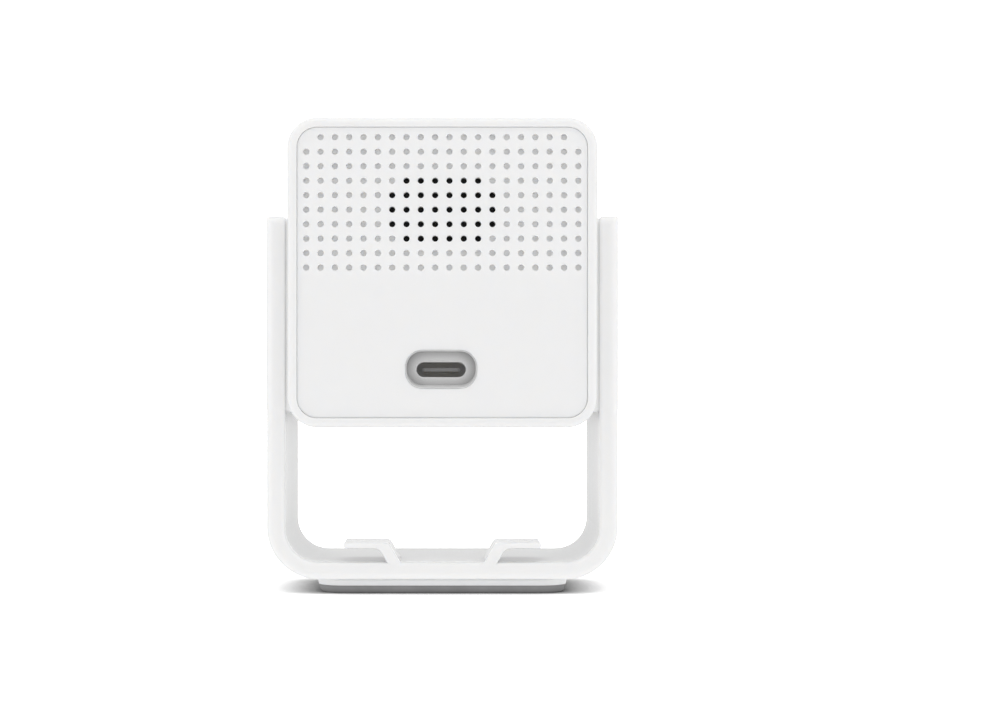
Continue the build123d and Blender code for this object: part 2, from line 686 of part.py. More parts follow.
with BuildPart() as usb_c_tongue:
    # contact tongue on the block that closes the back of the socket
    with BuildSketch(Plane.XY.offset(pivot_z + port_dz - 0.35)):
        with BuildLine():
            Polyline((port_dx - 3.345, 15.6), (port_dx + 3.345, 15.6), (port_dx + 3.345, 20.5), (port_dx + 2.925, 20.9),
                     (port_dx - 2.925, 20.9), (port_dx - 3.345, 20.5), close=True)
        make_face()
    extrude(amount=0.7)
    fillet(usb_c_tongue.faces().sort_by(Axis.Y)[-1].edges().filter_by(Axis.X), 0.1)
    with BuildSketch(at_y(16.3)):
        with Locations((port_dx, port_dz)):
            SlotOverall(8.26, 2.48)
    extrude(amount=0.9)

# ================================================================= head: speaker
with BuildPart() as speaker_mesh:
    with BuildSketch(at_y(cover_in)):
        with Locations((0, spk_dz)):
            SlotOverall(23.6, 15.6)
    extrude(amount=0.2)

with BuildPart() as speaker_gasket:
    with BuildSketch(at_y(cover_in - 0.2)):
        with Locations((0, spk_dz)):
            SlotOverall(23.6, 15.6)
            SlotOverall(20.8, 12.8, mode=Mode.SUBTRACT)
    extrude(amount=0.7)

with BuildPart() as speaker_basket:
    with BuildSketch(at_y(23.9)):
        with Locations((0, spk_dz)):
            SlotOverall(23.6, 15.6)
    extrude(amount=4.3)
    with BuildSketch(at_y(23.9)):
        with Locations((0, spk_dz)):
            SlotOverall(20.8, 12.8)
    extrude(amount=3.5, mode=Mode.SUBTRACT)
    with BuildSketch(at_y(23.9)):
        with Locations((0, spk_dz)):
            Circle(5.4)
    extrude(amount=6, mode=Mode.SUBTRACT)

with BuildPart() as speaker_magnet:
    with BuildSketch(at_y(21.6)):
        with Locations((0, spk_dz)):
            Circle(5.4)
            Circle(4.4, mode=Mode.SUBTRACT)
    extrude(amount=4.2)
    with BuildSketch(at_y(17.4)):
        with Locations((0, spk_dz)):
            Circle(5.4)
    extrude(amount=1.0)
    with BuildSketch(at_y(21.2)):
        with Locations((0, spk_dz)):
            Circle(3.4)
    extrude(amount=3.8)

with BuildPart() as voice_coil:
    with BuildSketch(at_y(22.6)):
        with Locations((0, spk_dz)):
            Circle(4.1)
            Circle(3.7, mode=Mode.SUBTRACT)
    extrude(amount=2.6)

with BuildPart() as speaker_cone:
    with BuildSketch(at_y(22.9)):
        with Locations((0, spk_dz)):
            SlotOverall(20.8, 12.8)
    extrude(amount=0.3)
    with BuildSketch(at_y(22.9)):
        with Locations((0, spk_dz)):
            SlotOverall(19.6, 11.6)
            SlotOverall(16.6, 8.6, mode=Mode.SUBTRACT)
    extrude(amount=-0.6)
    fillet(speaker_cone.faces().sort_by(Axis.Y)[-1].edges(), 0.5)

with BuildPart() as speaker_leads:
    for x in (8.0, 9.6):
        with BuildLine() as lead_route:
            FilletPolyline((x, 19.6, pivot_z + 6.2), (x, 17.5, pivot_z + 6.2), (x, 16.7, pivot_z + 0.8),
                           (x, 17.2, pivot_z - 4.6), (x, 14.8, pivot_z - 4.6), radius=[1.4, 8.0, 1.4])
        with BuildSketch(Plane(origin=lead_route.line @ 0, z_dir=lead_route.line % 0)):
            Circle(0.3)
        sweep(path=lead_route.line)

# ================================================================= head: reset button and its switch
with BuildPart() as reset_button:
    with BuildSketch(Plane(origin=(0, btn_y, 29.35), x_dir=(1, 0, 0), z_dir=(0, 0, 1))):
        Circle(1.6)
    extrude(amount=1.9)
    fillet(reset_button.faces().sort_by(Axis.Z)[0].edges(), 0.3)
    with BuildSketch(Plane(origin=(0, btn_y, 30.7), x_dir=(1, 0, 0), z_dir=(0, 0, 1))):
        Circle(2.4)
    extrude(amount=0.75)
    with BuildSketch(Plane(origin=(0, btn_y, 31.45), x_dir=(1, 0, 0), z_dir=(0, 0, 1))):
        Circle(1.0)
    extrude(amount=0.95)

with BuildPart() as switch_plunger:
    with BuildSketch(Plane(origin=(0, btn_y, 32.4), x_dir=(1, 0, 0), z_dir=(0, 0, 1))):
        Circle(0.7)
    extrude(amount=1.5)

with BuildPart() as reset_switch:
    with BuildSketch(Plane(origin=(0, 11.7, 33.0), x_dir=(1, 0, 0), z_dir=(0, 0, 1))):
        Rectangle(6.0, 3.0)
    extrude(amount=3.5)
    with BuildSketch(Plane(origin=(0, btn_y, 33.0), x_dir=(1, 0, 0), z_dir=(0, 0, 1))):
        Circle(0.75)
    extrude(amount=1.6, mode=Mode.SUBTRACT)

# ================================================================= write one STEP per piece
pieces = {
    "rubber_foot": rubber_foot, "base_plate": base_plate, "swivel_friction_washer": swivel_friction_washer,
    "swivel_spring_washer": swivel_spring_washer, "swivel_screw": swivel_screw, "swivel_insert": swivel_insert,
    "yoke_bracket": yoke_bracket, "pivot_friction_washers": pivot_friction_washers,
    "pivot_spring_washers": pivot_spring_washers, "pivot_screws": pivot_screws,
    "head_shell": head_shell, "rear_cover": rear_cover, "port_bezel": port_bezel, "front_window": front_window,
    "lens_ring": lens_ring, "lens_barrel": lens_barrel, "front_lens_element": front_lens_element,
    "middle_lens_element": middle_lens_element, "rear_lens_element": rear_lens_element,
    "lens_holder": lens_holder, "filter_carriage": filter_carriage, "ir_cut_glass": ir_cut_glass,
    "clear_glass": clear_glass, "filter_magnet": filter_magnet, "filter_coil": filter_coil,
    "sensor_board": sensor_board, "image_sensor": image_sensor, "sensor_board_screws": sensor_board_screws,
    "infrared_board": infrared_board, "infrared_leds": infrared_leds, "lens_gasket": lens_gasket,
    "status_led": status_led, "status_light_pipe": status_light_pipe,
    "microphone": microphone, "mic_boot": mic_boot, "internal_frame": internal_frame,
    "frame_screws": frame_screws, "main_board": main_board, "main_board_screws": main_board_screws,
    "processor": processor, "thermal_pad": thermal_pad, "heat_sink": heat_sink, "memory_chip": memory_chip,
    "wifi_shield": wifi_shield, "wifi_antenna": wifi_antenna, "antenna_cable": antenna_cable,
    "ribbon_connectors": ribbon_connectors, "sensor_ribbon": sensor_ribbon, "usb_c_shell": usb_c_shell,
    "usb_c_tongue": usb_c_tongue, "speaker_mesh": speaker_mesh, "speaker_gasket": speaker_gasket,
    "speaker_basket": speaker_basket, "speaker_magnet": speaker_magnet, "voice_coil": voice_coil,
    "speaker_cone": speaker_cone, "speaker_leads": speaker_leads, "reset_button": reset_button,
    "switch_plunger": switch_plunger, "reset_switch": reset_switch,
}
for name, piece in pieces.items():
    piece.part.label = name
    export_step(piece.part, f"parts/{name}.step")
print(len(pieces), "pieces")
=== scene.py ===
import math

import bmesh
import bpy
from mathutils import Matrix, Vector


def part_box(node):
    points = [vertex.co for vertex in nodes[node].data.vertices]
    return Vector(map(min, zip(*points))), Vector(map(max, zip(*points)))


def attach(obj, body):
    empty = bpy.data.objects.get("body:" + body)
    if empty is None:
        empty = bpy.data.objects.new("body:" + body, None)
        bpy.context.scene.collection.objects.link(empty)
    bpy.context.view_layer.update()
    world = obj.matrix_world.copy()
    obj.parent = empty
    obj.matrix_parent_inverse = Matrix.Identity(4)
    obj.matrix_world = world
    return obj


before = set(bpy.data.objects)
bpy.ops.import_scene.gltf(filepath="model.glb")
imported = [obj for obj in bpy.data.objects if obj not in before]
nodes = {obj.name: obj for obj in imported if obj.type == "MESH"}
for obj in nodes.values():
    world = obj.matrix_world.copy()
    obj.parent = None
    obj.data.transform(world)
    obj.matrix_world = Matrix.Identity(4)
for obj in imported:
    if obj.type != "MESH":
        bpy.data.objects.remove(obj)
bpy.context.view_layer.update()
scene = bpy.context.scene
scene.view_settings.view_transform = "Standard"
scene.view_settings.look = "None"
scene.view_settings.exposure = 0.0
scene.view_settings.gamma = 1.0

MM = 0.001
PIVOT_Z = 55.1 * MM


# ------------------------------------------------------------------ materials
def new_material(name):
    m = bpy.data.materials.new(name)
    m.use_nodes = True
    nt = m.node_tree
    return m, nt, nt.nodes["Principled BSDF"]


def rgb(c):
    return (c[0], c[1], c[2], 1.0)


def grain(nt, size_mm, detail=3.0, rough=0.6, lac=2.1, kind="noise", stretch=None):
    """A fine procedural texture in object space; size_mm is its cell size."""
    tc = nt.nodes.new("ShaderNodeTexCoord")
    src = tc.outputs["Object"]
    if stretch:
        mp = nt.nodes.new("ShaderNodeMapping")
        mp.inputs["Scale"].default_value = stretch
        nt.links.new(src, mp.inputs["Vector"])
        src = mp.outputs["Vector"]
    if kind == "noise":
        n = nt.nodes.new("ShaderNodeTexNoise")
        n.inputs["Scale"].default_value = 1000.0 / size_mm
        n.inputs["Detail"].default_value = detail
        n.inputs["Roughness"].default_value = rough
        n.inputs["Lacunarity"].default_value = lac
        nt.links.new(src, n.inputs["Vector"])
        return n.outputs["Fac"]
    v = nt.nodes.new("ShaderNodeTexVoronoi")
    v.inputs["Scale"].default_value = 1000.0 / size_mm
    nt.links.new(src, v.inputs["Vector"])
    return v.outputs["Distance"]


def ramp(nt, fac, stops):
    r = nt.nodes.new("ShaderNodeValToRGB")
    cr = r.color_ramp
    while len(cr.elements) < len(stops):
        cr.elements.new(0.5)
    for e, (p, c) in zip(cr.elements, stops):
        e.position = p
        e.color = rgb(c)
    nt.links.new(fac, r.inputs["Fac"])
    return r.outputs["Color"]


def spread(nt, fac, lo, hi):
    """Maps a 0..1 factor to lo..hi."""
    r = nt.nodes.new("ShaderNodeMapRange")
    r.inputs["To Min"].default_value = lo
    r.inputs["To Max"].default_value = hi
    nt.links.new(fac, r.inputs["Value"])
    return r.outputs["Result"]


def bump(nt, heights, bsdf):
    """Chains bumps: heights is a list of (socket, height in micrometres)."""
    last = None
    for h, um in heights:
        b = nt.nodes.new("ShaderNodeBump")
        b.inputs["Strength"].default_value = 1.0
        b.inputs["Distance"].default_value = um * 1e-6
        nt.links.new(h, b.inputs["Height"])
        if last is not None:
            nt.links.new(last, b.inputs["Normal"])
        last = b.outputs["Normal"]
    nt.links.new(last, bsdf.inputs["Normal"])


def moulded(name, color, rough=0.42, grain_mm=0.16, grain_um=2.2, tone=0.012, spec=0.5, wave_um=5.0, depth_mm=0.0, painted_corner_shade=None):
    """Injection-moulded plastic: spark-eroded grain, slow waviness, a trace of tone variation.
    The optional (tint, reach in mm) pair paints shade into the colour: ambient occlusion darkens it where walls meet."""
    m, nt, b = new_material(name)
    slow = grain(nt, 14.0, detail=2.0)
    fine = grain(nt, grain_mm, detail=4.0, rough=0.65)
    lo = [max(0.0, c * (1 - tone)) for c in color]
    hi = [min(1.0, c * (1 + tone)) for c in color]
    tint = ramp(nt, slow, [(0.3, lo), (0.7, hi)])
    # painted shade: ambient occlusion darkens the base colour in corners, creases and recesses
    if painted_corner_shade:
        ao = nt.nodes.new("ShaderNodeAmbientOcclusion")
        ao.samples = 8
        ao.only_local = True
        ao.inputs["Distance"].default_value = painted_corner_shade[1] * MM
        mul = nt.nodes.new("ShaderNodeMix")
        mul.data_type = "RGBA"
        mul.blend_type = "MULTIPLY"
        mul.inputs[0].default_value = 1.0
        nt.links.new(tint, mul.inputs[6])
        nt.links.new(ramp(nt, ao.outputs["AO"], [(0.35, painted_corner_shade[0]), (0.95, (1, 1, 1))]), mul.inputs[7])
        tint = mul.outputs[2]
    nt.links.new(tint, b.inputs["Base Color"])
    nt.links.new(spread(nt, fine, rough - 0.05, rough + 0.05), b.inputs["Roughness"])
    b.inputs["Specular IOR Level"].default_value = spec
    if depth_mm:
        b.inputs["Subsurface Weight"].default_value = 1.0
        b.inputs["Subsurface Radius"].default_value = (1.0, 0.97, 0.92)
        b.inputs["Subsurface Scale"].default_value = depth_mm * MM
    bump(nt, [(slow, wave_um), (fine, grain_um)], b)
    return m


def rubber(name, color, rough=0.72, grain_mm=0.22, grain_um=9.0, spec=0.35, contact_shade_height_mm=0.0):
    """Grained elastomer, with painted contact shade: the lowest band, up to the given height in mm, is darkened where
    the foot meets the floor.
    """
    m, nt, b = new_material(name)
    fine = grain(nt, grain_mm, detail=5.0, rough=0.7)
    cells = grain(nt, grain_mm * 2.2, kind="voronoi")
    slow = grain(nt, 6.0, detail=3.0)
    lo = [c * 0.9 for c in color]
    hi = [c * 1.1 for c in color]
    tint = ramp(nt, slow, [(0.3, lo), (0.7, hi)])
    # painted contact shade: darker towards the bottom of the foot
    if contact_shade_height_mm:
        tc = nt.nodes.new("ShaderNodeTexCoord")
        sep = nt.nodes.new("ShaderNodeSeparateXYZ")
        nt.links.new(tc.outputs["Object"], sep.inputs["Vector"])
        up = nt.nodes.new("ShaderNodeMapRange")
        up.inputs["From Max"].default_value = contact_shade_height_mm * MM
        nt.links.new(sep.outputs["Z"], up.inputs["Value"])
        painted_contact_shade = ramp(nt, up.outputs["Result"], [(0.0, (0.25,) * 3), (0.45, (0.72,) * 3), (1.0, (1.0,) * 3)])
        mul = nt.nodes.new("ShaderNodeMix")
        mul.data_type = "RGBA"
        mul.blend_type = "MULTIPLY"
        mul.inputs[0].default_value = 1.0
        nt.links.new(tint, mul.inputs[6])
        nt.links.new(painted_contact_shade, mul.inputs[7])
        tint = mul.outputs[2]
    nt.links.new(tint, b.inputs["Base Color"])
    nt.links.new(spread(nt, fine, rough - 0.08, rough + 0.06), b.inputs["Roughness"])
    b.inputs["Specular IOR Level"].default_value = spec
    bump(nt, [(cells, grain_um), (fine, grain_um * 0.6)], b)
    return m


def metal(name, color, rough=0.3, brush_mm=0.08, brush_um=0.8, stretch=(0.05, 1.0, 1.0), tone=0.06):
    m, nt, b = new_material(name)
    lines = grain(nt, brush_mm, detail=3.0, stretch=stretch)
    slow = grain(nt, 5.0, detail=2.0)
    lo = [c * (1 - tone) for c in color]
    hi = [min(1.0, c * (1 + tone)) for c in color]
    nt.links.new(ramp(nt, slow, [(0.3, lo), (0.7, hi)]), b.inputs["Base Color"])
    nt.links.new(spread(nt, lines, rough - 0.08, rough + 0.1), b.inputs["Roughness"])
    b.inputs["Metallic"].default_value = 1.0
    bump(nt, [(lines, brush_um)], b)
    return m


def glass(name, tint, rough=0.01, ior=1.52, spec_tint=None, film=None):
    m, nt, b = new_material(name)
    b.inputs["Base Color"].default_value = rgb(tint)
    b.inputs["Transmission Weight"].default_value = 1.0
    b.inputs["Roughness"].default_value = rough
    b.inputs["IOR"].default_value = ior
    if spec_tint:
        b.inputs["Specular Tint"].default_value = rgb(spec_tint)
    if film:
        b.inputs["Thin Film Thickness"].default_value = film
        b.inputs["Thin Film IOR"].default_value = 1.38
    smear = grain(nt, 1.6, detail=2.0)
    nt.links.new(spread(nt, smear, rough, rough + 0.03), b.inputs["Roughness"])
    return m


def board(name, color=(0.012, 0.09, 0.035)):
    """Circuit board: solder mask with traces and plane edges showing through as relief."""
    m, nt, b = new_material(name)
    tc = nt.nodes.new("ShaderNodeTexCoord")
    br = nt.nodes.new("ShaderNodeTexBrick")
    mp = nt.nodes.new("ShaderNodeMapping")
    mp.inputs["Rotation"].default_value = (math.radians(90), 0, 0)
    nt.links.new(tc.outputs["Object"], mp.inputs["Vector"])
    nt.links.new(mp.outputs["Vector"], br.inputs["Vector"])
    br.inputs["Scale"].default_value = 420.0
    br.inputs["Mortar Size"].default_value = 0.035
    br.inputs["Color1"].default_value = rgb([c * 0.9 for c in color])
    br.inputs["Color2"].default_value = rgb([c * 1.25 for c in color])
    br.inputs["Mortar"].default_value = rgb([c * 1.9 for c in color])
    nt.links.new(br.outputs["Color"], b.inputs["Base Color"])
    fine = grain(nt, 0.5, detail=3.0)
    nt.links.new(spread(nt, fine, 0.25, 0.36), b.inputs["Roughness"])
    b.inputs["Coat Weight"].default_value = 0.4
    b.inputs["Coat Roughness"].default_value = 0.15
    bump(nt, [(br.outputs["Fac"], 25.0), (fine, 4.0)], b)
    return m


def inside_tone(m, tone, deeper):
    """A shading aid, not a real colour change: the inside of the U a little darker, the middle of its bar most, not the hooks."""
    nt = m.node_tree
    b = nt.nodes["Principled BSDF"]

    def math_node(op, a, c=None):
        n = nt.nodes.new("ShaderNodeMath")
        n.operation = op
        for i, v in enumerate((a, c)):
            if v is None:
                continue
            if isinstance(v, (int, float)):
                n.inputs[i].default_value = v
            else:
                nt.links.new(v, n.inputs[i])
        return n.outputs["Value"]

    def fade(v, lo, hi):
        r = nt.nodes.new("ShaderNodeMapRange")
        r.interpolation_type = "SMOOTHSTEP"
        r.inputs["From Min"].default_value = lo
        r.inputs["From Max"].default_value = hi
        nt.links.new(v, r.inputs["Value"])
        return r.outputs["Result"]

    tc = nt.nodes.new("ShaderNodeTexCoord")
    to_middle = nt.nodes.new("ShaderNodeVectorMath")
    to_middle.operation = "SUBTRACT"
    to_middle.inputs[0].default_value = (0, 0, 40 * MM)
    nt.links.new(tc.outputs["Object"], to_middle.inputs[1])
    flat = nt.nodes.new("ShaderNodeVectorMath")
    flat.operation = "MULTIPLY"
    flat.inputs[1].default_value = (1, 0, 1)
    nt.links.new(to_middle.outputs["Vector"], flat.inputs[0])
    unit = nt.nodes.new("ShaderNodeVectorMath")
    unit.operation = "NORMALIZE"
    nt.links.new(flat.outputs["Vector"], unit.inputs[0])
    dot = nt.nodes.new("ShaderNodeVectorMath")
    dot.operation = "DOT_PRODUCT"
    nt.links.new(unit.outputs["Vector"], dot.inputs[0])
    nt.links.new(tc.outputs["Normal"], dot.inputs[1])
    place = nt.nodes.new("ShaderNodeSeparateXYZ")
    nt.links.new(tc.outputs["Object"], place.inputs["Vector"])
    x = math_node("ABSOLUTE", place.outputs["X"])
    y = math_node("ABSOLUTE", place.outputs["Y"])
    off_edge = math_node("SUBTRACT", 1.0, fade(y, 13.9 * MM, 15.3 * MM))
    inner = math_node("MULTIPLY", fade(dot.outputs["Value"], 0.2, 0.65), off_edge)
    hooks = math_node("MULTIPLY", fade(place.outputs["Z"], 5.7 * MM, 6.0 * MM), math_node("SUBTRACT", 1.0, fade(x, 17.4 * MM, 17.9 * MM)))
    inner = math_node("MULTIPLY", inner, math_node("SUBTRACT", 1.0, hooks))
    middle = math_node("SUBTRACT", 1.0, fade(x, 7 * MM, 19 * MM))
    loss = math_node("MULTIPLY", inner, math_node("ADD", 1.0 - tone, math_node("MULTIPLY", middle, tone - deeper)))
    keep = math_node("SUBTRACT", 1.0, loss)
    mul = nt.nodes.new("ShaderNodeVectorMath")
    mul.operation = "SCALE"
    nt.links.new(b.inputs["Base Color"].links[0].from_socket, mul.inputs[0])
    nt.links.new(keep, mul.inputs["Scale"])
    nt.links.new(mul.outputs["Vector"], b.inputs["Base Color"])
    return m


def by_depth(m, deep_mm, front_mm, front_tone):
    """A shading aid: paler deep in the socket, greyer at the tip, for the tones that the socket shows from behind."""
    nt = m.node_tree
    b = nt.nodes["Principled BSDF"]
    tc = nt.nodes.new("ShaderNodeTexCoord")
    sep = nt.nodes.new("ShaderNodeSeparateXYZ")
    nt.links.new(tc.outputs["Object"], sep.inputs["Vector"])
    along = nt.nodes.new("ShaderNodeMapRange")
    along.interpolation_type = "SMOOTHSTEP"
    along.inputs["From Min"].default_value = deep_mm * MM
    along.inputs["From Max"].default_value = front_mm * MM
    along.inputs["To Min"].default_value = 1.0
    along.inputs["To Max"].default_value = front_tone
    nt.links.new(sep.outputs["Y"], along.inputs["Value"])
    mul = nt.nodes.new("ShaderNodeVectorMath")
    mul.operation = "SCALE"
    nt.links.new(b.inputs["Base Color"].links[0].from_socket, mul.inputs[0])
    nt.links.new(along.outputs["Result"], mul.inputs["Scale"])
    nt.links.new(mul.outputs["Vector"], b.inputs["Base Color"])
    return m


WHITE = (0.95, 0.95, 0.95)
M = {}
M["shell"] = moulded("shell_white", WHITE, rough=0.2, depth_mm=0.25)
M["cover"] = moulded("cover_white", WHITE, rough=0.22, grain_mm=0.14, depth_mm=1.0)
# painted shade in the bracket's inner corners and under its hooks, through the corner (tint, reach) pair
M["bracket"] = moulded("bracket_white", (0.945, 0.945, 0.945), rough=0.2, grain_mm=0.18, depth_mm=0.8, painted_corner_shade=((0.68, 0.68, 0.68), 18.0))
inside_tone(M["bracket"], 0.905, 0.795)
M["foot"] = moulded("foot_white", (0.9, 0.9, 0.9), rough=0.32, depth_mm=1.0)
M["button"] = moulded("button_white", WHITE, rough=0.36)
M["washer"] = moulded("washer_acetal", (0.72, 0.71, 0.67), rough=0.35)
M["rubber"] = rubber("foot_rubber", (0.225, 0.225, 0.227), contact_shade_height_mm=0.9)
# painted shade in the port recess, darkest at its edges and corners, through the corner (tint, reach) pair
M["port"] = moulded("port_grey", (0.86, 0.86, 0.86), rough=0.5, grain_mm=0.12, painted_corner_shade=((0.5, 0.5, 0.5), 2.2))
M["tongue"] = moulded("tongue_grey", (0.66, 0.66, 0.66), rough=0.45, grain_mm=0.08, grain_um=1.0)
by_depth(M["tongue"], 16.3, 19.6, 0.385)
M["inner_black"] = moulded("inner_black", (0.03, 0.03, 0.031), rough=0.5)
M["frame_grey"] = moulded("frame_grey", (0.11, 0.11, 0.115), rough=0.55, grain_um=4.0)
M["chip"] = moulded("chip_black", (0.02, 0.02, 0.021), rough=0.6, grain_um=4.0, grain_mm=0.1)
M["cone"] = moulded("cone_film", (0.05, 0.05, 0.052), rough=0.6, grain_um=6.0)
M["thermal"] = rubber("thermal_pad_silicone", (0.3, 0.38, 0.5), rough=0.6)
M["foam"] = rubber("foam_black", (0.02, 0.02, 0.02), rough=0.9, grain_um=30.0, grain_mm=0.3)
M["silicone"] = rubber("silicone_black", (0.03, 0.03, 0.03), rough=0.5)
M["cable"] = rubber("cable_jacket", (0.05, 0.05, 0.052), rough=0.5, grain_um=2.0)
M["lead"] = rubber("lead_red", (0.4, 0.02, 0.015), rough=0.45, grain_um=1.5)
M["steel"] = metal("zinc_steel", (0.62, 0.62, 0.63), rough=0.32)
M["mic_can"] = metal("microphone_can", (0.1, 0.1, 0.105), rough=0.5)
M["tin"] = metal("tin_shield", (0.72, 0.72, 0.72), rough=0.28)
M["socket"] = metal("socket_steel", (0.86, 0.86, 0.865), rough=0.3, stretch=(1.0, 0.06, 1.0))
M["brass"] = metal("brass_insert", (0.76, 0.56, 0.26), rough=0.3)
M["gold"] = metal("gold_contacts", (0.83, 0.62, 0.28), rough=0.25, brush_um=0.3)
M["copper"] = metal("copper_wire", (0.7, 0.33, 0.16), rough=0.35, brush_mm=0.1, brush_um=8.0, stretch=(0.05, 1.0, 1.0))
M["nickel"] = metal("nickel_plate", (0.66, 0.64, 0.6), rough=0.15, brush_um=0.2)
M["aluminium"] = metal("anodised_fins", (0.68, 0.69, 0.7), rough=0.4)
M["lens"] = glass("coated_lens", (0.97, 0.98, 1.0), film=112.0, spec_tint=(0.5, 0.38, 0.75))
M["lens_inner"] = glass("inner_lens", (0.97, 0.98, 1.0), film=96.0, spec_tint=(0.4, 0.3, 0.22))
M["ir_glass"] = glass("ir_cut_glass", (0.6, 0.85, 0.9), film=420.0, spec_tint=(0.9, 0.35, 0.3))
M["pcb"] = board("board_green")


def window_black():
    """Polished infrared-clear acrylic: near-black body colour, very slight orange peel."""
    m, nt, b = new_material("window_black")
    slow = grain(nt, 9.0, detail=2.0)
    fine = grain(nt, 2.5, detail=2.0)
    nt.links.new(ramp(nt, slow, [(0.2, (0.0035, 0.0032, 0.0042)), (0.8, (0.006, 0.0055, 0.007))]), b.inputs["Base Color"])
    nt.links.new(spread(nt, fine, 0.03, 0.06), b.inputs["Roughness"])
    b.inputs["IOR"].default_value = 1.49
    b.inputs["Specular IOR Level"].default_value = 0.28
    bump(nt, [(slow, 1.2)], b)
    return m


def radial(nt):
    """Distance from the lens axis, in metres."""
    tc = nt.nodes.new("ShaderNodeTexCoord")
    sub = nt.nodes.new("ShaderNodeVectorMath")
    sub.operation = "SUBTRACT"
    sub.inputs[1].default_value = (0, 0, PIVOT_Z)
    nt.links.new(tc.outputs["Object"], sub.inputs[0])
    flat = nt.nodes.new("ShaderNodeVectorMath")
    flat.operation = "MULTIPLY"
    flat.inputs[1].default_value = (1, 0, 1)
    nt.links.new(sub.outputs["Vector"], flat.inputs[0])
    ln = nt.nodes.new("ShaderNodeVectorMath")
    ln.operation = "LENGTH"
    nt.links.new(flat.outputs["Vector"], ln.inputs[0])
    return ln.outputs["Value"]


def turned(name, color, rough, pitch_mm, depth_um, metallic=1.0):
    """Lathe-turned rings round the lens axis."""
    m, nt, b = new_material(name)
    mul = nt.nodes.new("ShaderNodeMath")
    mul.operation = "MULTIPLY"
    mul.inputs[1].default_value = 2 * math.pi * 1000.0 / pitch_mm
    nt.links.new(radial(nt), mul.inputs[0])
    sn = nt.nodes.new("ShaderNodeMath")
    sn.operation = "SINE"
    nt.links.new(mul.outputs["Value"], sn.inputs[0])
    fine = grain(nt, 0.2, detail=3.0)
    slow = grain(nt, 4.0)
    nt.links.new(ramp(nt, slow, [(0.3, [c * 0.92 for c in color]), (0.7, [c * 1.08 for c in color])]), b.inputs["Base Color"])
    nt.links.new(spread(nt, fine, rough - 0.05, rough + 0.05), b.inputs["Roughness"])
    b.inputs["Metallic"].default_value = metallic
    bump(nt, [(sn.outputs["Value"], depth_um), (fine, 0.6)], b)
    return m


def woven(name, color, pitch_mm=0.22):
    """Fine square-woven acoustic mesh."""
    m, nt, b = new_material(name)
    tc = nt.nodes.new("ShaderNodeTexCoord")
    heights = []
    for axis in ("X", "Z"):
        w = nt.nodes.new("ShaderNodeTexWave")
        w.bands_direction = axis
        w.inputs["Scale"].default_value = 1000.0 / pitch_mm / math.pi / 2 * 1.0
        w.inputs["Distortion"].default_value = 0.0
        nt.links.new(tc.outputs["Object"], w.inputs["Vector"])
        heights.append(w.outputs["Fac"])
    mx = nt.nodes.new("ShaderNodeMath")
    mx.operation = "MAXIMUM"
    nt.links.new(heights[0], mx.inputs[0])
    nt.links.new(heights[1], mx.inputs[1])
    nt.links.new(ramp(nt, mx.outputs["Value"], [(0.3, [c * 0.3 for c in color]), (0.9, color)]), b.inputs["Base Color"])
    b.inputs["Roughness"].default_value = 0.8
    bump(nt, [(mx.outputs["Value"], 60.0)], b)
    return m


def film(name, color, rough=0.3):
    """Flex circuit: amber film with the copper tracks as long ridges under it."""
    m, nt, b = new_material(name)
    tracks = grain(nt, 0.35, detail=1.0, stretch=(1.0, 0.02, 0.02))
    nt.links.new(ramp(nt, tracks, [(0.42, [c * 0.7 for c in color]), (0.58, [min(1, c * 1.35) for c in color])]), b.inputs["Base Color"])
    nt.links.new(spread(nt, tracks, rough, rough + 0.1), b.inputs["Roughness"])
    bump(nt, [(tracks, 15.0)], b)
    return m


def frosted(name, color):
    m, nt, b = new_material(name)
    fine = grain(nt, 0.1, detail=2.0)
    b.inputs["Base Color"].default_value = rgb(color)
    b.inputs["Subsurface Weight"].default_value = 0.6
    b.inputs["Subsurface Radius"].default_value = (0.001, 0.001, 0.001)
    b.inputs["Subsurface Scale"].default_value = 0.5
    nt.links.new(spread(nt, fine, 0.32, 0.42), b.inputs["Roughness"])
    bump(nt, [(fine, 1.5)], b)
    return m


M["window"] = window_black()
M["ring"] = turned("ring_black", (0.045, 0.045, 0.048), 0.3, 0.12, 2.5)
M["barrel"] = turned("barrel_black", (0.018, 0.018, 0.019), 0.5, 0.35, 22.0, metallic=0.0)
M["mesh"] = woven("mesh_black", (0.012, 0.012, 0.012))
M["flex"] = film("flex_amber", (0.42, 0.17, 0.03))
M["antenna"] = film("antenna_film", (0.03, 0.03, 0.03))
M["light_pipe"] = frosted("light_pipe_frosted", (0.75, 0.78, 0.8))
M["led"] = frosted("led_resin", (0.7, 0.66, 0.45))


def sensor():
    m, nt, b = new_material("sensor_die")
    fine = grain(nt, 0.03, kind="voronoi")
    nt.links.new(ramp(nt, fine, [(0.0, (0.02, 0.035, 0.05)), (1.0, (0.05, 0.09, 0.08))]), b.inputs["Base Color"])
    b.inputs["Roughness"].default_value = 0.12
    b.inputs["Coat Weight"].default_value = 1.0
    bump(nt, [(fine, 0.5)], b)
    return m


M["sensor"] = sensor()

